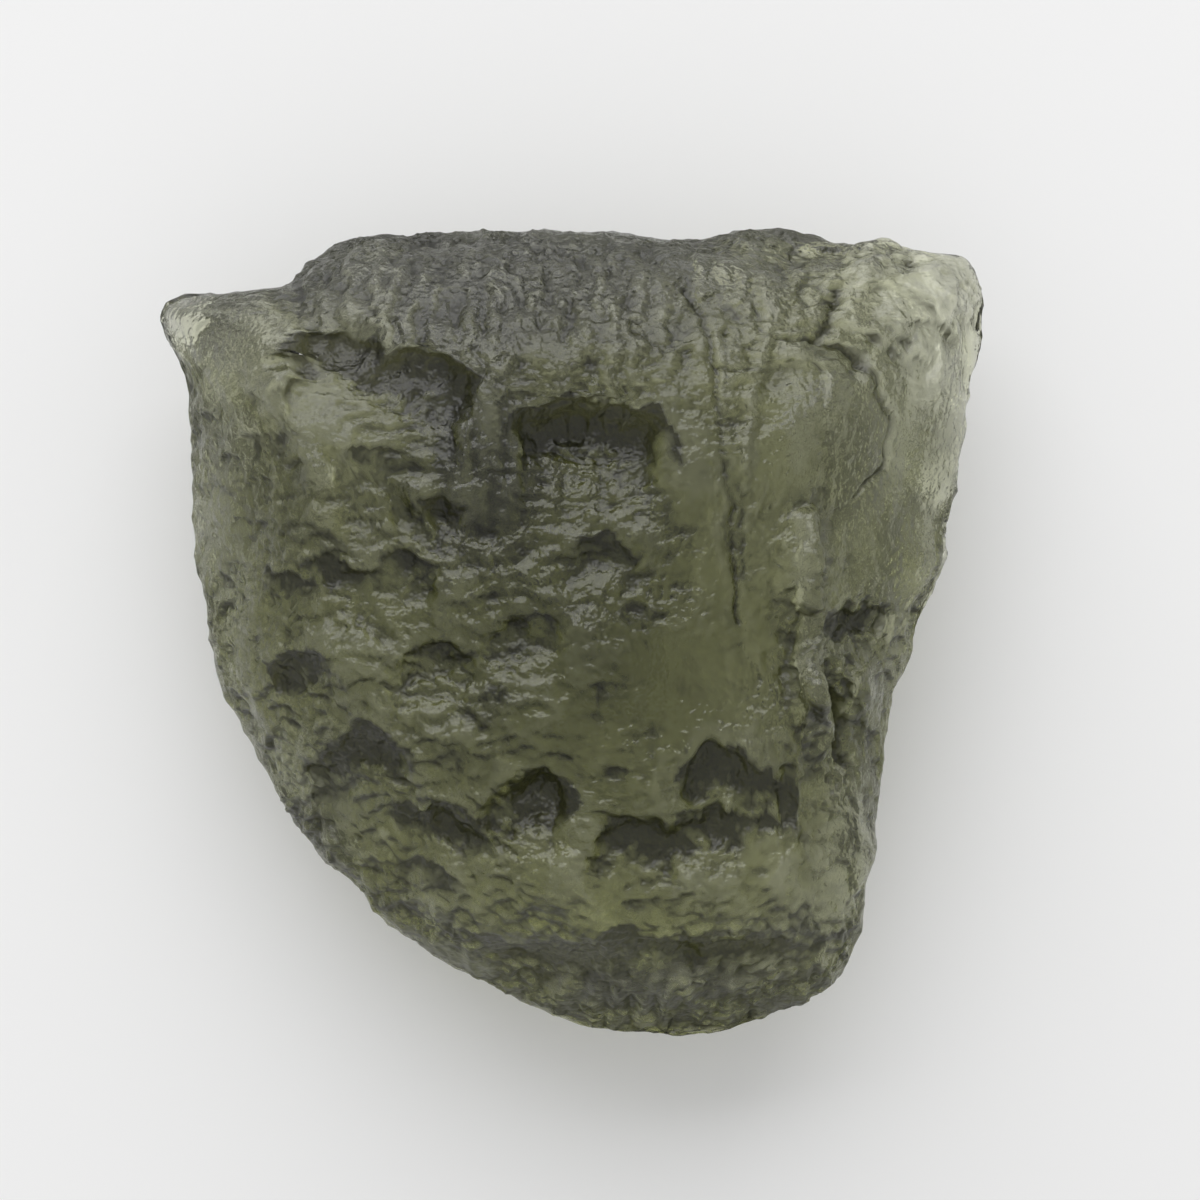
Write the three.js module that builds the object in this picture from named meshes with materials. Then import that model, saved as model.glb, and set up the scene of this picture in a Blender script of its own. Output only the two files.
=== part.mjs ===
// A moldavite: one natural piece of olive-green impact glass, shield-shaped, with an etched skin of
// scallops, ledges and ridges. It lies on its back on a small flat spot, with its best face up.
// Millimetres. X runs across the face, Y towards its broad end, and Z up from the surface that it lies on.
import * as THREE from "three";
import { ImprovedNoise } from "three/addons/math/ImprovedNoise.js";
import { mergeVertices } from "three/addons/utils/BufferGeometryUtils.js";

// Driving dimensions
const WIDTH = 14.1;
const RIM_HEIGHT = 2.6;
const RIM_WANDER = { height: 0.6, wavelength: 3 };
const FLAT_SPOT = { x: 0.1, y: 0.6, radius: 3.2, sink: 0.09 };
const MIDDLE = new THREE.Vector2(0.1, 0.6);
const SPLITS_PER_EDGE = 19;

// The outline's corners, bays and swells, anticlockwise from the notch low on the right side.
const OUTLINE_WIDTH = 13.97;
const OUTLINE = [
  [5.35, -2.3],
  [5.37, -1.7],
  [5.72, -0.6],
  [6.12, 0.5],
  [6.42, 1.3],
  [6.36, 1.75],
  [6.62, 2.9],
  [6.72, 3.9],
  [6.93, 5.0],
  [7.0, 5.65],
  [6.88, 6.12],
  [6.6, 6.38],
  [5.9, 6.4],
  [5.3, 6.66],
  [4.75, 6.5],
  [4.2, 6.72],
  [3.55, 6.89],
  [3.0, 6.86],
  [2.2, 6.65],
  [0.6, 6.66],
  [-1.2, 6.76],
  [-2.6, 6.78],
  [-3.9, 6.6],
  [-4.5, 6.2],
  [-4.75, 5.84],
  [-5.6, 5.72],
  [-6.4, 5.64],
  [-6.95, 5.46],
  [-6.92, 5.0],
  [-6.55, 4.4],
  [-6.5, 3.0],
  [-6.3, 1.3],
  [-6.1, -0.3],
  [-5.6, -1.65],
  [-4.95, -2.9],
  [-4.2, -3.85],
  [-3.6, -4.28],
  [-3.2, -4.8],
  [-2.4, -5.5],
  [-1.3, -6.12],
  [0, -6.62],
  [1.1, -6.85],
  [2.2, -6.88],
  [3.2, -6.66],
  [4.3, -6.12],
  [4.82, -5.3],
  [5.02, -4.4],
  [5.22, -3.2],
];

// The front is the lowest of these tilted planes, rounded together where they meet.
// A facet's height is that of its plane at (x, y), and its slopes are the rise per millimetre of X and Y.
const FACET_ROUNDING = 0.5;
const FACETS = [
  { of: "main face", x: -0.5, y: 0, height: 5.5, slopeX: 0.0, slopeY: 0.05 },
  { of: "broad end's bevel", x: 0, y: 4.6, height: 5.65, slopeX: 0.02, slopeY: -0.75 },
  { of: "left bevel", x: -5.1, y: 1.5, height: 5.0, slopeX: 0.9, slopeY: 0.1 },
  { of: "right wing", x: 4.2, y: 3.0, height: 5.05, slopeX: -0.55, slopeY: -0.05 },
  { of: "lower right side", x: 4.4, y: -3.5, height: 4.9, slopeX: -0.9, slopeY: 0.1 },
  { of: "tip's bevel", x: 2.2, y: -5.1, height: 4.8, slopeX: 0.0, slopeY: 0.85 },
  { of: "lower left bevel", x: -3.1, y: -3.3, height: 4.75, slopeX: 0.4, slopeY: 0.45 },
];

// The back is level in its middle and rises along these planes, so that both sides of the stone are thin.
const BACK_FACETS = [
  { of: "right wing", x: 2.6, y: 2.5, slopeX: 0.62, slopeY: 0.12 },
  { of: "left side", x: -3.6, y: 1.0, slopeX: -0.5, slopeY: 0.0 },
  { of: "tip", x: 1.5, y: -3.6, slopeX: 0.0, slopeY: -0.4 },
];

// A scallop is an arched ledge: a steep wall at its top, and below it a floor that runs out gently to nothing.
// Its wall takes up a share of its length, and the lower the power of its sides, the steeper they are.
const ARCH_DROP = 0.45;
const CRISP = { wall: 0.16, sides: 0.25 };
const WORN = { wall: 0.4, sides: 1 };
const scallop = (x, top, halfWidth, length, depth, turnDegrees = 0) => ({
  x,
  top,
  halfWidth,
  length,
  depth,
  turn: THREE.MathUtils.degToRad(turnDegrees),
});

const FRONT_SCALLOPS = [
  // Three deep ones in a row make the ledge under the broad end's bevel
  scallop(-3.87, 5.03, 0.9, 2.3, 0.5, 4),
  scallop(-2.38, 4.64, 1.0, 2.3, 0.55, -18),
  scallop(0.45, 3.71, 1.2, 2.3, 0.55, -7),
  // Down the left bevel
  scallop(-4.9, 3.36, 0.6, 1.6, 0.28),
  scallop(-4.6, 0.96, 0.6, 1.6, 0.26, 10),
  scallop(-4.6, -0.39, 0.6, 1.8, 0.36, 22),
  // The crumpled left half of the main face
  scallop(-3.29, 2.86, 0.65, 1.5, 0.28),
  scallop(-2.29, 2.22, 0.65, 1.5, 0.28, 5),
  scallop(-3.72, 1.18, 0.75, 1.6, 0.32, -30),
  scallop(-2.6, 1.21, 0.65, 1.5, 0.32, -15),
  scallop(-2.16, -0.22, 0.75, 1.5, 0.3, -4),
  scallop(0.66, 1.58, 0.65, 1.5, 0.3, -4),
  scallop(-0.51, 0.29, 0.65, 1.5, 0.26, -10),
  // The deep row above the tip
  scallop(-3.55, -1.61, 0.95, 2.0, 0.48, 6),
  scallop(-2.16, -2.86, 0.9, 1.7, 0.44, -4),
  scallop(-0.39, -2.22, 0.7, 2.5, 0.4, -16),
  scallop(1.2, -3.01, 0.8, 1.8, 0.44, -8),
  scallop(2.23, -2.03, 0.7, 1.4, 0.44, 10),
  scallop(2.71, -2.82, 0.9, 1.7, 0.46, -14),
  scallop(3.24, -2.18, 0.6, 1.5, 0.4),
  // The clear oval hollow and the pits beside the upright ridge
  scallop(3.5, 4.75, 0.7, 2.6, 0.32, 4),
  scallop(4.5, -0.9, 0.5, 1.6, 0.4),
  scallop(4.76, 0.5, 0.6, 1.2, 0.4),
  // The tip's bevel
  scallop(-0.25, -5.25, 1.0, 1.0, 0.3, -10),
  scallop(2.9, -5.0, 1.3, 1.1, 0.36, 2),
];

// A swell is a low rounded lump.
const swell = (x, y, halfWidth, halfLength, rise) => ({ x, y, halfWidth, halfLength, rise });

const FRONT_SWELLS = [
  swell(-3.2, 5.5, 1.2, 0.75, 0.35), // shoulder at the left of the broad end
  swell(-6.6, 5.2, 0.5, 0.6, 0.5), // glassy bead on the left corner
  swell(4.05, 3.5, 1.4, 1.5, 0.45), // lobe around the clear oval hollow
  swell(3.85, 0.9, 0.5, 1.4, 0.4), // upper half of the upright ridge
  swell(3.95, -1.0, 0.45, 1.2, 0.5), // lower half of the upright ridge
  swell(4.95, -1.05, 0.55, 0.7, 0.55), // lump on the right side
  swell(5.2, 6.1, 0.6, 0.5, 0.35), // lumps along the right corner
  swell(6.35, 5.6, 0.55, 0.7, 0.4),
  swell(6.2, 4.2, 0.5, 0.8, 0.3),
  swell(5.0, -3.6, 0.5, 1.0, 0.35), // ribs down the lower right side
  swell(1.9, -5.9, 0.6, 0.6, 0.3), // knob on the tip
];

// The sides and the back have the same skin, with scallops scattered over them by a fixed seed.
const SCATTERED = {
  count: 120,
  seed: 23,
  frontFacing: 0.5,
  lean: 0.3,
  halfWidth: [0.55, 1.2],
  stretch: [1.4, 2.6],
  depth: [0.18, 0.42],
};

// Lumps all over, from coarse to fine, and the share of all relief that the rim keeps
const RIM_RELIEF = 0.3;
const LUMPS = [
  { wavelength: 3.2, height: 0.3 },
  { wavelength: 1.5, height: 0.16 },
  { wavelength: 0.9, height: 0.07 },
];

const GLASS = { color: 0x5a5b45, roughness: 0.25, metalness: 0 };

const { smoothstep, lerp } = THREE.MathUtils;
const perlin = new ImprovedNoise();

// Where in the noise the stone lies
const NOISE_START = new THREE.Vector3(7.3, 2.1, 4.7);

// Smooth noise of a given height and wavelength at a point
function noiseAt(point, { height, wavelength }) {
  const place = point.clone().divideScalar(wavelength).add(NOISE_START);
  return height * perlin.noise(place.x, place.y, place.z);
}

// Rounded minimum of two heights
function roundedMin(a, b, rounding) {
  const share = Math.max(rounding - Math.abs(a - b), 0) / rounding;
  return Math.min(a, b) - (share * share * rounding) / 4;
}

// Numbers from 0 to 1 that come out the same on every run
function seededRandom(seed) {
  const multiplier = 16807;
  const modulus = 2147483647;
  let state = seed;
  return () => {
    state = (state * multiplier) % modulus;
    return state / modulus;
  };
}

// The outline as a smooth closed curve, then as its distance from the middle in every direction
function outlineByAngle() {
  const points = OUTLINE.map(([x, y]) => new THREE.Vector3(x, y, 0));
  const curve = new THREE.CatmullRomCurve3(points, true, "centripetal");
  const scale = WIDTH / OUTLINE_WIDTH;
  const steps = 720;
  const rays = curve.getPoints(steps).slice(0, steps).map((point) => {
    const ray = new THREE.Vector2(point.x * scale, point.y * scale).sub(MIDDLE);
    return { angle: ray.angle(), length: ray.length() };
  });
  rays.sort((a, b) => a.angle - b.angle);
  return (angle) => {
    const after = rays.findIndex((ray) => ray.angle >= angle);
    const next = after < 0 ? rays[0] : rays[after];
    const last = after <= 0 ? rays[rays.length - 1] : rays[after - 1];
    const turn = 2 * Math.PI;
    const gap = (next.angle - last.angle + turn) % turn || 1;
    const way = (angle - last.angle + turn) % turn;
    return lerp(last.length, next.length, way / gap);
  };
}

function facetHeight(x, y) {
  return FACETS.map((f) => f.height + f.slopeX * (x - f.x) + f.slopeY * (y - f.y)).reduce((a, b) =>
    roundedMin(a, b, FACET_ROUNDING),
  );
}

function backHeight(x, y) {
  return BACK_FACETS.map((f) => f.slopeX * (x - f.x) + f.slopeY * (y - f.y)).reduce(
    (height, plane) => -roundedMin(-height, -plane, FACET_ROUNDING),
    0,
  );
}

// Share of its depth that a scallop has at a place: across it from -1 to 1, and along it from 0 to 1 at its top
function scallopShare(across, along, edge) {
  if (Math.abs(across) >= 1) return 0;
  const inside = 1 - across * across;
  const up = along / (1 - ARCH_DROP * (1 - Math.sqrt(inside)));
  if (up <= 0 || up >= 1) return 0;
  return Math.pow(inside, edge.sides) * up * (1 - smoothstep(up, 1 - edge.wall, 1));
}

function scallopDepth(hollow, x, y) {
  const c = Math.cos(hollow.turn);
  const s = Math.sin(hollow.turn);
  const across = (c * (x - hollow.x) + s * (y - hollow.top)) / hollow.halfWidth;
  const along = 1 + (c * (y - hollow.top) - s * (x - hollow.x)) / hollow.length;
  return hollow.depth * scallopShare(across, along, CRISP);
}

function swellRise(lump, x, y) {
  const reach = Math.hypot((x - lump.x) / lump.halfWidth, (y - lump.y) / lump.halfLength);
  return lump.rise * (1 - smoothstep(reach, 0, 1));
}

// Share of its full height that a face keeps at a share of the way from the middle to the rim
const domeProfile = (reach, squareness) => Math.sqrt(1 - Math.pow(reach, squareness));
const FRONT_SQUARENESS = 8;
const BACK_SQUARENESS = 2.7;
const THINNEST_FRONT = 0.6;
const THINNEST_BACK = 0.5;

// A fine ball is drawn out to the outline, its upper half to the sculpted front and its lower half to the back.
function drawnOutBall() {
  const ball = new THREE.IcosahedronGeometry(1, SPLITS_PER_EDGE);
  ball.deleteAttribute("normal");
  ball.deleteAttribute("uv");
  const stone = mergeVertices(ball);
  const rimDistance = outlineByAngle();
  const position = stone.getAttribute("position");
  const unit = new THREE.Vector3();
  for (let i = 0; i < position.count; i++) {
    unit.fromBufferAttribute(position, i);
    const reach = Math.min(Math.hypot(unit.x, unit.y), 1);
    const angle = new THREE.Vector2(unit.x, unit.y).angle();
    const distance = reach * rimDistance(angle);
    const x = MIDDLE.x + distance * Math.cos(angle);
    const y = MIDDLE.y + distance * Math.sin(angle);
    const wander = noiseAt(new THREE.Vector3(x, y, 0), RIM_WANDER);
    const rim = RIM_HEIGHT + wander;
    const back = Math.min(backHeight(x, y), rim - THINNEST_BACK);
    let z = rim - (rim - back) * domeProfile(reach, BACK_SQUARENESS);
    if (unit.z >= 0) {
      const carved = Math.max(...FRONT_SCALLOPS.map((hollow) => scallopDepth(hollow, x, y)));
      const raised = FRONT_SWELLS.reduce((sum, hump) => sum + swellRise(hump, x, y), 0);
      const face = facetHeight(x, y) + raised - carved;
      z = rim + Math.max(face - rim, THINNEST_FRONT) * domeProfile(reach, FRONT_SQUARENESS);
    }
    position.setXYZ(i, x, y, z);
  }
  return stone;
}

// The rim keeps its outline and the flat spot stays plain, so relief fades out on both
function reliefShare(point, outward) {
  const facing = Math.abs(outward.z);
  const onRim = lerp(RIM_RELIEF, 1, smoothstep(facing, 0.1, 0.7));
  if (outward.z > 0) return onRim;
  const reach = Math.hypot(point.x - FLAT_SPOT.x, point.y - FLAT_SPOT.y) / FLAT_SPOT.radius;
  return onRim * smoothstep(reach, 0.5, 1.3);
}

// Moves every vertex along its normal by a height that depends on the vertex
function displace(geometry, heightOf) {
  geometry.computeVertexNormals();
  const position = geometry.getAttribute("position");
  const normal = geometry.getAttribute("normal");
  const point = new THREE.Vector3();
  const out = new THREE.Vector3();
  const moved = [];
  for (let i = 0; i < position.count; i++) {
    point.fromBufferAttribute(position, i);
    out.fromBufferAttribute(normal, i);
    moved.push(point.clone().addScaledVector(out, heightOf(point, out) * reliefShare(point, out)));
  }
  moved.forEach((vertex, i) => position.setXYZ(i, ...vertex));
}

// Lumps at a point, as a sum of noises of shorter and shorter wavelength
function lumpHeight(point) {
  return LUMPS.reduce((sum, lump) => sum + noiseAt(point, lump), 0);
}

// Scallops in the skin of the sides and the back, each with its own place, way up and size
function scatteredScallops(geometry) {
  const random = seededRandom(SCATTERED.seed);
  const between = ([low, high]) => lerp(low, high, random());
  const position = geometry.getAttribute("position");
  const normal = geometry.getAttribute("normal");
  const hollows = [];
  while (hollows.length < SCATTERED.count) {
    const i = Math.floor(random() * position.count);
    const outward = new THREE.Vector3().fromBufferAttribute(normal, i);
    const turn = random() * 2 * Math.PI;
    if (outward.z > SCATTERED.frontFacing) continue; // the front has its own
    const across = new THREE.Vector3(Math.cos(turn), Math.sin(turn), SCATTERED.lean).cross(outward).normalize();
    const halfWidth = between(SCATTERED.halfWidth);
    hollows.push({
      top: new THREE.Vector3().fromBufferAttribute(position, i),
      outward,
      across,
      along: new THREE.Vector3().crossVectors(outward, across),
      halfWidth,
      length: halfWidth * between(SCATTERED.stretch),
      depth: between(SCATTERED.depth),
    });
  }
  return hollows;
}

function scatteredDepth(hollow, point, outward) {
  const away = new THREE.Vector3().subVectors(point, hollow.top);
  const facing = smoothstep(outward.dot(hollow.outward), 0, 0.5);
  const along = 1 + away.dot(hollow.along) / hollow.length;
  return facing * hollow.depth * scallopShare(away.dot(hollow.across) / hollow.halfWidth, along, WORN);
}

function stoneGeometry() {
  const stone = drawnOutBall();
  displace(stone, lumpHeight);
  stone.computeVertexNormals();
  const hollows = scatteredScallops(stone);
  displace(stone, (point, outward) => -Math.max(...hollows.map((hollow) => scatteredDepth(hollow, point, outward))));
  return stone;
}

// Everything below the resting plane is worn away, which leaves the small flat spot
function wornFlat(geometry) {
  geometry.computeBoundingBox();
  const plane = geometry.boundingBox.min.z + FLAT_SPOT.sink;
  const position = geometry.getAttribute("position");
  for (let i = 0; i < position.count; i++) position.setZ(i, Math.max(position.getZ(i), plane));
  return geometry;
}

// The stone sits over the origin, with its flat spot on Z = 0
function centred(geometry) {
  geometry.computeBoundingBox();
  const { min, max } = geometry.boundingBox;
  geometry.translate(-(min.x + max.x) / 2, -(min.y + max.y) / 2, -min.z);
  geometry.computeVertexNormals();
  return geometry;
}

const moldavite = new THREE.Mesh(centred(wornFlat(stoneGeometry())), new THREE.MeshStandardMaterial(GLASS));
moldavite.name = "moldavite";

const part = new THREE.Group();
part.add(moldavite);

export default part;
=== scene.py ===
import bmesh
import bpy
import numpy as np
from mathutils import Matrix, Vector, noise


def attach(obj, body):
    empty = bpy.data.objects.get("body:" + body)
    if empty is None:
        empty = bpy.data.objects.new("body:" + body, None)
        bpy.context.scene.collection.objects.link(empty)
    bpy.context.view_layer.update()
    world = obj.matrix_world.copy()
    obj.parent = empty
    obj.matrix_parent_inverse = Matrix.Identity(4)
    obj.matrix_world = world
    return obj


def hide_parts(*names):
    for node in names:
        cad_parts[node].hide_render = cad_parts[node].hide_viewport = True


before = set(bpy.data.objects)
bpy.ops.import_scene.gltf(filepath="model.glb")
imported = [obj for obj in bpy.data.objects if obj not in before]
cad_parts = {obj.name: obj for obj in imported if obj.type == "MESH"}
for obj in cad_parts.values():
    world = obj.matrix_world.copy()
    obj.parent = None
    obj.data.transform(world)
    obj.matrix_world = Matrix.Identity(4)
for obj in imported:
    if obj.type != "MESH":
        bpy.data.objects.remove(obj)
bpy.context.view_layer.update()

# The moldavite: one lump of olive-green glass, splashed out by a meteorite and shaped in flight.
# It is a single natural piece that lies on a worn flat spot on its back, with its best face up.
# Its broad shape comes with the frame; here it gets many more faces to carry the etched skin.
MM = 0.001
SMOOTHING_ROUNDS = 60


def relaxed(points, edges):
    """Points moved to the middle of their neighbours."""
    a, b = edges.T
    total = len(points)
    count = np.bincount(edges.ravel(), minlength=total)[:, None]
    sums = [np.bincount(a, points[b, k], total) + np.bincount(b, points[a, k], total) for k in range(3)]
    return np.stack(sums, axis=1) / count


def evened(points, edges, rounds):
    """Points drawn towards their neighbours, then back out a little so that nothing shrinks."""
    draw_in, push_out = 0.5, -0.52
    for pull in [draw_in, push_out] * rounds:
        points = points + pull * (relaxed(points, edges) - points)
    return points


def outward(points, faces):
    """Unit normals at the points."""
    p, q, r = points[faces[:, 0]], points[faces[:, 1]], points[faces[:, 2]]
    across = np.repeat(np.cross(q - p, r - p), 3, axis=0)
    corners = faces.ravel()
    total = np.stack([np.bincount(corners, across[:, k], len(points)) for k in range(3)], axis=1)
    return total / np.maximum(np.linalg.norm(total, axis=1, keepdims=True), 1e-12)


def fine_mesh(node):
    """The stone's own shape in millimetres with many more faces: fine on the face, coarser on the back."""
    mesh = bmesh.new()
    mesh.from_mesh(node.data)
    bmesh.ops.remove_doubles(mesh, verts=mesh.verts[:], dist=1e-7)
    bmesh.ops.subdivide_edges(mesh, edges=mesh.edges[:], cuts=1, use_grid_fill=True)
    mesh.normal_update()
    upper = {edge for face in mesh.faces if face.normal.z > 0.05 for edge in face.edges}
    bmesh.ops.subdivide_edges(mesh, edges=list(upper), cuts=2, use_grid_fill=True)
    bmesh.ops.triangulate(mesh, faces=mesh.faces[:])
    mesh.verts.index_update()
    points = np.array([v.co for v in mesh.verts]) / MM
    faces = np.array([[v.index for v in f.verts] for f in mesh.faces])
    edges = np.array([[v.index for v in e.verts] for e in mesh.edges])
    mesh.free()
    return evened(points, edges, SMOOTHING_ROUNDS), faces, edges


points, faces, edges = fine_mesh(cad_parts["moldavite"])
normals = outward(points, faces)

# The etched skin: ground water ate scallops into the glass, each with a steep wall at its top and a floor
# that runs out gently below. Flutes and grooves follow the flow of the melt, from the broad end to the tip.


def ramp(value, low, high):
    """0 below low, 1 above high, and smooth between them."""
    share = np.clip((value - low) / (high - low), 0, 1)
    return share * share * (3 - 2 * share)


def noise_at(places, size, start=0.0):
    """Smooth noise from -1 to 1 with lumps of the given size, one size or one for each axis."""
    return np.array([noise.noise(Vector(place)) for place in places / np.array(size) + start])


def cells_at(places, size, start=0.0):
    """Bowls side by side: 0 at their middles and up to 1 on the sharp ridges between them."""
    reach = np.array([noise.voronoi(Vector(place))[0][0] for place in places / np.array(size) + start])
    return np.minimum(reach, 1) ** 2


def within(places, x, y, half_width, half_length, soft=0.5):
    """1 inside an oval on the face, fading to 0 outside it."""
    reach = np.hypot((places[:, 0] - x) / half_width, (places[:, 1] - y) / half_length)
    return 1 - ramp(reach, 1 - soft, 1 + soft)


def carve(depths, places, x, top, half_width, length, depth, turn, wall):
    """Deepens depths by one scallop, with its arched top at (x, top) and a wall as wide as given."""
    arch_drop = 0.45
    c, s = np.cos(np.radians(turn)), np.sin(np.radians(turn))
    reach = half_width + length
    near = np.flatnonzero((np.abs(places[:, 0] - x) < reach) & (np.abs(places[:, 1] - top) < reach))
    dx, dy = places[near, 0] - x, places[near, 1] - top
    across = np.clip((c * dx + s * dy) / half_width, -1, 1)
    arch = np.sqrt(1 - across**2)
    up = (1 + (c * dy - s * dx) / length) / (1 - arch_drop * (1 - arch))
    share = np.sqrt(arch) * np.clip(up, 0, 1) * (1 - ramp(up, 1 - wall / length, 1))
    depths[near] = np.maximum(depths[near], depth * share)


def from_line(places, line):
    """Distance on the face from a line through the given points."""
    line = np.array(line)
    nearest = np.full(len(places), np.inf)
    for start, end in zip(line[:-1], line[1:]):
        way = end - start
        share = np.clip(((places[:, :2] - start) @ way) / (way @ way), 0, 1)
        nearest = np.minimum(nearest, np.linalg.norm(places[:, :2] - start - share[:, None] * way, axis=1))
    return nearest


# The large ledges: x and y of the top, half width, length, depth and turn
LEDGES = [
    (-3.87, 5.03, 0.74, 1.85, 0.42, 4),
    (-2.38, 4.64, 0.84, 1.76, 0.45, -18),
    (0.45, 3.71, 1.08, 1.60, 0.45, -7),
    (-4.90, 3.36, 0.40, 0.92, 0.22, 0),
    (0.66, 1.58, 0.44, 0.76, 0.24, -4),
    (1.30, 0.49, 0.30, 0.67, 0.14, 10),
    (-0.51, 0.29, 0.40, 0.67, 0.18, -10),
    (-2.16, -0.22, 0.50, 0.76, 0.24, -4),
    (-3.72, 1.18, 0.61, 1.01, 0.26, -30),
    (-2.71, 1.21, 0.44, 0.76, 0.26, -15),
    (-2.29, 2.22, 0.40, 0.76, 0.24, 5),
    (-3.29, 2.86, 0.40, 0.76, 0.22, 0),
    (-3.55, -1.61, 0.81, 1.68, 0.40, 6),
    (-4.60, -0.39, 0.44, 1.34, 0.28, 22),
    (-2.16, -2.86, 0.74, 1.26, 0.36, -4),
    (-0.39, -2.22, 0.47, 2.35, 0.34, -16),
    (1.20, -3.01, 0.61, 1.43, 0.36, -8),
    (2.23, -2.03, 0.54, 1.01, 0.36, 10),
    (2.71, -2.82, 0.81, 1.01, 0.38, -14),
    (3.24, -2.18, 0.44, 1.01, 0.32, 0),
    (4.76, 0.50, 0.47, 0.76, 0.34, 0),
    (-4.60, 0.96, 0.37, 0.76, 0.16, 10),
    (-4.09, 1.88, 0.40, 0.76, 0.16, -8),
    (-1.24, -0.97, 0.44, 0.67, 0.16, 0),
    (-1.74, -1.82, 0.40, 0.67, 0.16, -5),
    (0.28, -0.97, 0.34, 0.50, 0.10, -10),
    (-2.41, -3.97, 0.61, 1.01, 0.24, -20),
    (-0.55, 3.90, 0.50, 0.95, 0.32, 24),
    (1.45, 3.40, 0.45, 0.90, 0.30, -26),
    (2.60, -4.98, 1.90, 1.00, 0.30, 0),
    (-0.60, -5.10, 1.20, 1.00, 0.26, -14),
]

# Fields of small scallops: middle, half sizes, number, narrowest and widest half width,
# length and depth as shares of the half width, and spread of the turn
FIELDS = [
    (-2.7, 0.4, 2.6, 3.4, 480, 0.1, 0.36, 0.9, 0.24, 14),
    (0.2, 0.6, 2.1, 3.2, 300, 0.08, 0.28, 0.9, 0.24, 14),
    (-2.0, -3.4, 2.6, 1.8, 230, 0.1, 0.32, 1.0, 0.26, 18),
    (1.6, -4.0, 2.8, 1.5, 230, 0.06, 0.2, 2.6, 0.3, 12),
    (-1.2, 5.2, 3.8, 1.6, 420, 0.06, 0.18, 3.0, 0.34, 12),
    (4.7, 5.3, 2.1, 1.4, 120, 0.1, 0.32, 1.8, 0.36, 50),
    (4.5, -2.0, 1.1, 4.2, 240, 0.07, 0.22, 2.8, 0.36, 15),
    (1.2, -6.0, 3.4, 1.0, 200, 0.08, 0.26, 1.4, 0.4, 30),
    (-5.5, 1.4, 1.1, 4.2, 170, 0.1, 0.3, 1.6, 0.26, 25),
    (0.0, 0.0, 7.0, 7.0, 3200, 0.05, 0.13, 1.3, 0.4, 30),
]

# Lines on the face: points, half width, and height above the skin or depth below it
FLOW_GROOVE = [(1.84, 5.71), (2.16, 5.19), (2.33, 4.22), (2.43, 2.94), (2.6, 2.08), (2.65, 0.8), (2.71, 0.2)]
OVAL_EDGE = [(3.3, 4.84), (3.81, 4.91), (4.48, 4.66), (4.95, 4.32), (5.32, 3.56), (5.2, 2.8), (4.65, 2.2)]
LINES = [
    (FLOW_GROOVE, 0.08, -0.11),
    ([(2.5, 5.0), (2.55, 3.4)], 0.05, -0.05),
    ([(2.72, 2.3), (2.76, 0.9)], 0.06, -0.06),
    ([(2.38, 4.3), (2.97, 4.32)], 0.05, -0.1),
    ([(3.2, 4.82), (3.0, 4.24), (2.88, 3.39), (2.8, 2.72)], 0.1, 0.15),
    (OVAL_EDGE, 0.07, -0.14),
    ([(3.8, 1.9), (3.91, 1.2), (3.86, 0.2), (3.93, -0.8), (4.02, -1.4), (4.06, -1.9)], 0.26, 0.28),
    ([(4.22, -0.97), (4.45, -1.5), (4.56, -2.15)], 0.18, -0.3),
    ([(4.4, 5.75), (4.23, 5.1), (4.06, 4.85)], 0.12, -0.14),
    ([(1.12, -5.05), (2.13, -4.9), (3.47, -4.9), (4.65, -5.05)], 0.06, 0.08),
]

# Calm places where the skin is smooth: middle and half sizes
CALM = [
    (2.0, -0.8, 0.7, 1.1),
    (3.5, 3.5, 0.5, 1.1),
    (5.2, 2.2, 0.9, 1.7),
    (-0.3, -3.7, 0.5, 0.8),
    (-6.5, 5.2, 0.4, 0.5),
    (-5.6, 4.9, 0.8, 0.6),
]

# Worn places where the skin is dull and grey: middle and half sizes
GREY = [
    (-1.3, 5.7, 3.4, 1.2),
    (-1.4, 2.9, 0.8, 1.6),
    (1.4, -6.1, 3.2, 0.7),
    (-4.6, -3.4, 0.7, 0.7),
]

# Thin places painted a paler green for the light that comes through them: middle and half sizes
PALE = [
    (5.8, 2.8, 1.8, 3.6),
    (-6.4, 5.0, 0.8, 0.6),
    (-6.0, 1.5, 0.7, 3.6),
    (4.95, -1.0, 0.45, 0.8),
    (3.95, -0.8, 0.22, 1.3),
    (4.6, -3.6, 0.7, 1.7),
    (-4.7, -2.6, 0.5, 1.0),
    (1.2, -5.5, 0.35, 0.35),
]

# Edges on the skin stray from neat curves: the ragged places a little, the torn ones more
RAGGED = 0.1
TORN_FINE, TORN_BROAD = 0.2, 0.35
SMOOTHED_BY_CALM = 0.7
front = ramp(normals[:, 2], 0.0, 0.35)
wander = np.stack([noise_at(points, 0.4, (9.1 * k, 3.7, 1.3)) for k in range(3)], axis=1)
stray = np.stack([noise_at(points, 1.1, (2.3, 6.1 * k, 8.3)) for k in range(3)], axis=1)
ragged = points + RAGGED * wander
torn = points + TORN_FINE * wander + TORN_BROAD * stray
calm = np.max([within(ragged, *place) for place in CALM], axis=0)
grey = np.max([within(torn, *place) for place in GREY], axis=0)
pale = np.max([within(torn, *place) for place in PALE], axis=0)
rough = 1 - SMOOTHED_BY_CALM * calm
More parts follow.
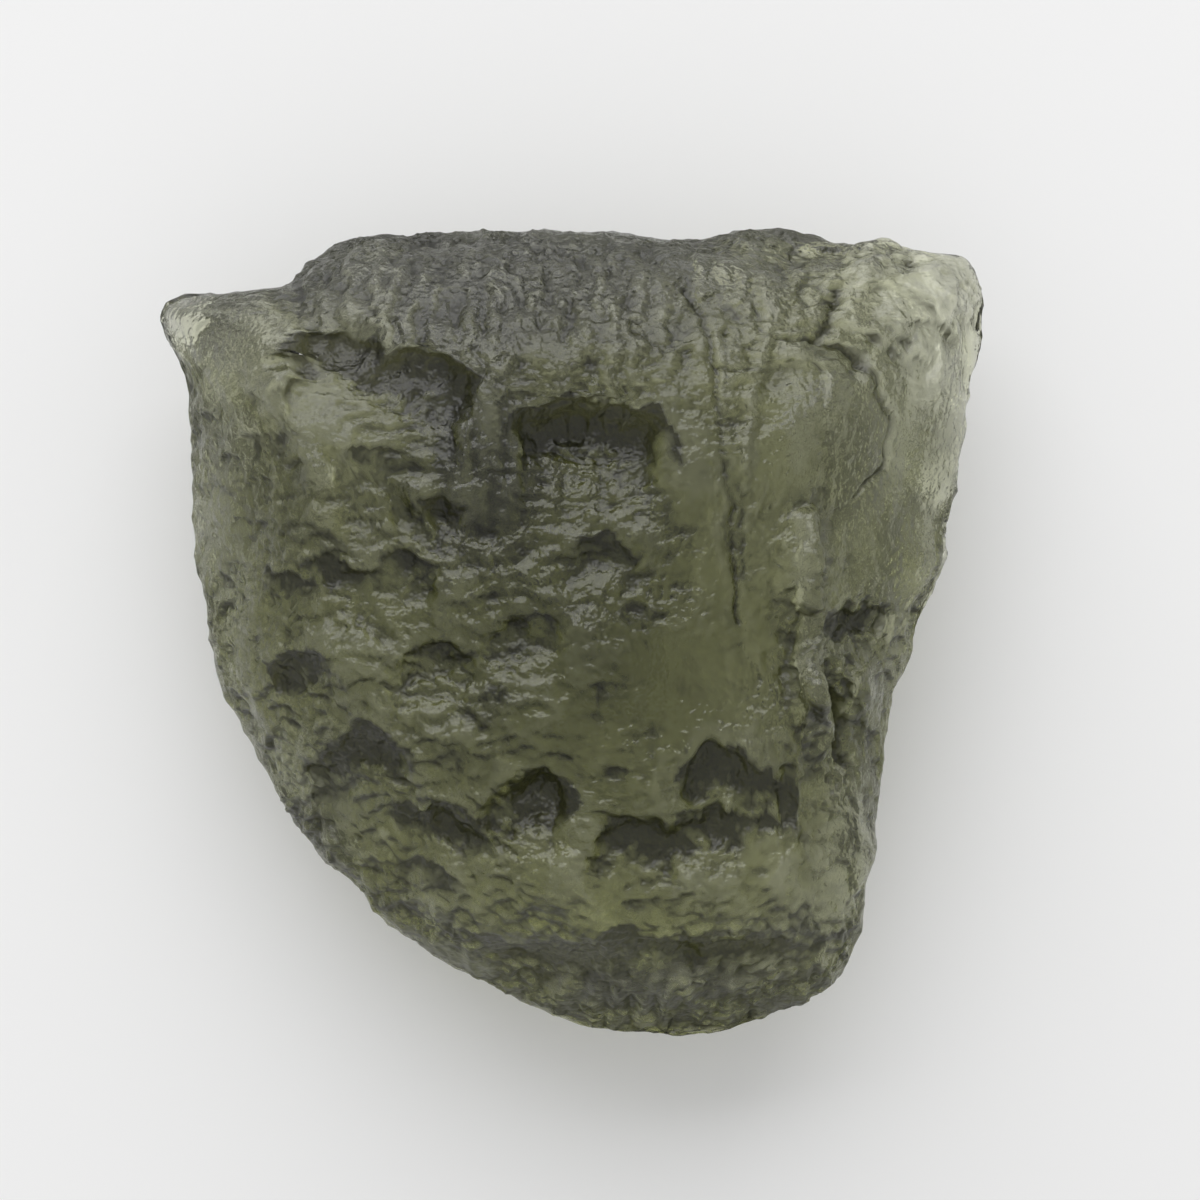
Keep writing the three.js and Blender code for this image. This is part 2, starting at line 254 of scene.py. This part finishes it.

# The stone's broad shape has the large ledges already, so they get a crisp lip here, and painted shade below
# it
LIP_WIDTH, LIP_LENGTH, LIP_DEPTH, LIP_WALL = 1.1, 1.3, 0.25, 0.08
SHADE_WIDTH, SHADE_LENGTH, SHADE_DARKNESS, SHADE_WALL = 1.25, 0.55, 3, 0.04
ledges = np.zeros(len(points))
shade = np.zeros(len(points))
for x, top, half_width, length, depth, turn in LEDGES:
    lip = (LIP_WIDTH * half_width, LIP_LENGTH * length, LIP_DEPTH * depth)
    carve(ledges, torn, x, top, *lip, turn, LIP_WALL)
    dark = (SHADE_WIDTH * half_width, SHADE_LENGTH * length, min(1, SHADE_DARKNESS * depth))
    carve(shade, torn, x, top, *dark, turn, SHADE_WALL)

# Each small scallop has a lip too, with a short dark stroke of painted shadow under it
SCALLOP_WALL, STROKE_WALL = 0.06, 0.02
LONGEST_STROKE = 0.2
random = np.random.default_rng(7)
crumples = np.zeros(len(points))
stroke_shadows = np.zeros(len(points))
for x, y, half_x, half_y, number, narrow, wide, stretch, deep, turn in FIELDS:
    for _ in range(number):
        way, reach = random.uniform(0, 2 * np.pi), np.sqrt(random.uniform())
        half_width = narrow + (wide - narrow) * random.uniform() ** 1.5
        length = half_width * stretch * random.uniform(0.7, 1.3)
        depth = half_width * deep * random.uniform(0.7, 1.8)
        top = (x + half_x * reach * np.cos(way), y + half_y * reach * np.sin(way))
        twist = random.normal(0, turn)
        carve(crumples, ragged, *top, half_width, length, depth, twist, SCALLOP_WALL)
        stroke = min(0.5 * length, LONGEST_STROKE)
        carve(stroke_shadows, ragged, *top, half_width, stroke, 1, twist, STROKE_WALL)

# Ridges and grooves along the lines, flutes along the flow, pits all over and fine creases between them
traces = [(np.clip(1 - from_line(ragged, line) / half, 0, 1), height) for line, half, height in LINES]
lines = sum(height * trace for trace, height in traces)
ridges = np.max([trace for trace, height in traces if height > 0], axis=0)
grooves = np.max([trace for trace, height in traces if height < 0], axis=0)
flutes = noise_at(ragged, (0.2, 1.0, 1.0), 5.0) + 0.6 * noise_at(ragged, (0.1, 0.45, 0.45), 2.0)
pits = cells_at(points + 0.12 * wander, 0.8) - 0.4
small_pits = cells_at(points + 0.06 * wander, 0.33, 4.0) - 0.4

creases = np.maximum(
    np.clip(1 - np.abs(noise_at(ragged, (0.42, 0.26, 0.34), 7.0)) / 0.2, 0, 1),
    np.clip(1 - np.abs(noise_at(ragged, (0.24, 0.18, 0.2), 3.0)) / 0.25, 0, 1),
)
creases *= rough * ramp(noise_at(points, 0.9, 6.0), -0.5, 0.3)

# Heights in millimetres: flutes are higher on the grey places, and pits are deeper on the sides and back
flute_rise = 0.03 + 0.06 * grey
pit_rise = 0.13 - 0.1 * front
small_pit_rise = 0.08 - 0.05 * front
crease_depth = 0.05
height = front * (lines - ledges - rough * crumples + flute_rise * rough * flutes - crease_depth * creases)
height += rough * pit_rise * pits + small_pit_rise * rough * small_pits
points = points + normals * height[:, None]
points[:, 2] = np.maximum(points[:, 2], 0)

# Painted shade darkens the face under the lips, on walls turned away from the light, and in grooves,
# creases, flute troughs and hollows, each kind with its own share.
# A painted highlight lightens the raised places and the ridges.
# A point is sunk as far as it lies below the skin smoothed over many rounds.
BROAD_ROUNDS = 40
etched = outward(points, faces)
broad = points
for _ in range(BROAD_ROUNDS):
    broad = relaxed(broad, edges)
sunk = np.sum((broad - points) * etched, axis=1)
# Painted shade on the walls of the face that turn away from the light
away_from_light = front * ramp(-etched[:, 1], 0.3, 0.75)
patchy = 0.75 + 0.5 * wander[:, 0]
painted_darkness = 2.2 * shade * patchy + 0.75 * grooves + 0.75 * away_from_light + 0.45 * creases
painted_darkness += 0.4 * grey * ramp(-flutes, 0.1, 0.5) + 0.6 * rough * stroke_shadows * patchy
painted_shade = np.clip(front * painted_darkness + 0.5 * ramp(sunk, 0.01, 0.06), 0, 1)
# Painted highlight on raised places, except walls turned away from the light, and along the ridges
painted_highlight = np.maximum(0.7 * ramp(-sunk, 0.015, 0.06) * (1 - away_from_light), front * ridges)

mesh = bpy.data.meshes.new("moldavite_skin")
mesh.from_pydata((points * MM).tolist(), [], faces.tolist())
mesh.shade_smooth()
for name, values in (("painted_shade", painted_shade), ("painted_highlight", painted_highlight), ("calm", calm), ("grey", grey), ("pale", pale)):
    mesh.attributes.new(name, "FLOAT", "POINT").data.foreach_set("value", values.astype(np.float32))
stone = bpy.data.objects.new("moldavite_skin", mesh)
bpy.context.collection.objects.link(stone)

# The glass: clear olive green right through, so thin edges are pale and thick parts dark.
# Its skin is satin, with a fine grain, and only the calm places are glossy.
OLIVE = (0.54, 0.55, 0.32, 1)
# Paler green, painted on the thin places for the light that comes through them
PALE_GREEN = (0.97, 0.98, 0.82, 1)
# Near black, for painted shade
PAINTED_SHADE = (0.02, 0.02, 0.008, 1)
# Pale cream, for painted highlight
PAINTED_HIGHLIGHT = (0.85, 0.85, 0.78, 1)
GREY_SKIN = (0.2, 0.2, 0.17, 1)
glass = bpy.data.materials.new("moldavite_glass")
glass.use_nodes = True
nodes, links = glass.node_tree.nodes, glass.node_tree.links
skin = nodes["Principled BSDF"]
skin.inputs["IOR"].default_value = 1.49
skin.inputs["Transmission Weight"].default_value = 0.97
skin.inputs["Specular IOR Level"].default_value = 0.4


def made(kind, **values):
    """A shader node with its input values set."""
    node = nodes.new(kind)
    for name, value in values.items():
        node.inputs[name].default_value = value
    return node


def share_of(name):
    """A share from 0 to 1 kept on the mesh."""
    node = nodes.new("ShaderNodeAttribute")
    node.attribute_name = name
    return node.outputs["Fac"]


def mixed(share, first, second):
    """One colour turning into another by a share."""
    node = nodes.new("ShaderNodeMix")
    node.data_type = "RGBA"
    links.new(share, node.inputs["Factor"])
    for socket, value in ((node.inputs[6], first), (node.inputs[7], second)):
        if isinstance(value, tuple):
            socket.default_value = value
        else:
            links.new(value, socket)
    return node.outputs[2]


# Painted light: the thin places turn paler green
through_light_tint = mixed(share_of("pale"), OLIVE, PALE_GREEN)
# The grey worn skin, then painted highlight over it
worn_and_highlit = mixed(share_of("painted_highlight"), mixed(share_of("grey"), through_light_tint, GREY_SKIN), PAINTED_HIGHLIGHT)
# Painted shade darkens the colour last of all
links.new(mixed(share_of("painted_shade"), worn_and_highlit, PAINTED_SHADE), skin.inputs["Base Color"])
gloss = made("ShaderNodeMapRange", **{"To Min": 0.17, "To Max": 0.09})
links.new(share_of("calm"), gloss.inputs["Value"])
dulled = made("ShaderNodeMapRange", **{"To Max": 0.35})
links.new(share_of("painted_shade"), dulled.inputs["Value"])
links.new(gloss.outputs["Result"], dulled.inputs["To Min"])
links.new(dulled.outputs["Result"], skin.inputs["Roughness"])
place = nodes.new("ShaderNodeTexCoord")
grain = made("ShaderNodeTexNoise", Scale=9000, Detail=1)
links.new(place.outputs["Object"], grain.inputs["Vector"])
bump = made("ShaderNodeBump", Strength=1.0, Distance=0.00004)
links.new(grain.outputs["Fac"], bump.inputs["Height"])
links.new(bump.outputs["Normal"], skin.inputs["Normal"])
body = made("ShaderNodeVolumeAbsorption", Color=(0.5, 0.52, 0.2, 1), Density=160)
links.new(body.outputs["Volume"], nodes["Material Output"].inputs["Volume"])
mesh.materials.append(glass)

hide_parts("moldavite")
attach(stone, "root")

# The floor: a plain sheet of pale matt board that the stone lies on.
# It is part of the studio and not of the stone.
bpy.ops.mesh.primitive_plane_add(size=2)
floor = bpy.context.object
floor.name = "floor"
board = bpy.data.materials.new("pale_floor")
board.use_nodes = True
board.node_tree.nodes["Principled BSDF"].inputs["Base Color"].default_value = (0.9, 0.9, 0.9, 1)
board.node_tree.nodes["Principled BSDF"].inputs["Roughness"].default_value = 0.9
floor.data.materials.append(board)

# Studio light: a large soft panel, low beyond the broad end, so that the bevel shines and the face doesn't.
# A dimmer pale room all around fills the shadows, and few bounces of light keep the render short.
panel = bpy.data.lights.new("panel", "AREA")
panel.shape = "SQUARE"
panel.size = 0.4
panel.energy = 1.15
panel_object = bpy.data.objects.new("panel", panel)
panel_object.location = (-0.04, 0.28, 0.15)
panel_object.rotation_euler = panel_object.location.to_track_quat("Z", "Y").to_euler()
bpy.context.collection.objects.link(panel_object)
world = bpy.data.worlds.new("room")
world.use_nodes = True
world.node_tree.nodes["Background"].inputs["Color"].default_value = (1, 1, 1, 1)
world.node_tree.nodes["Background"].inputs["Strength"].default_value = 0.62
bpy.context.scene.world = world
bpy.context.scene.view_settings.view_transform = "Standard"
bpy.context.scene.cycles.use_light_tree = False
bpy.context.scene.cycles.max_bounces = 6
bpy.context.scene.cycles.transmission_bounces = 6
bpy.context.scene.cycles.diffuse_bounces = 2
bpy.context.scene.cycles.glossy_bounces = 2

# The camera looks straight down on the face through a long lens.
# Its distance gives the picture the frame's width at the level of the face.
FRAME_WIDTH = 20.17 * MM
FACE_LEVEL = 3.5 * MM
LENS, SENSOR = 100, 36
camera = bpy.data.cameras.new("camera")
camera.lens, camera.sensor_width = LENS, SENSOR
camera.clip_start, camera.clip_end = 0.001, 10
camera_object = bpy.data.objects.new("camera", camera)
camera_object.location = (0.445 * MM, 0.538 * MM, FACE_LEVEL + FRAME_WIDTH * LENS / SENSOR)
bpy.context.collection.objects.link(camera_object)
bpy.context.scene.camera = camera_object
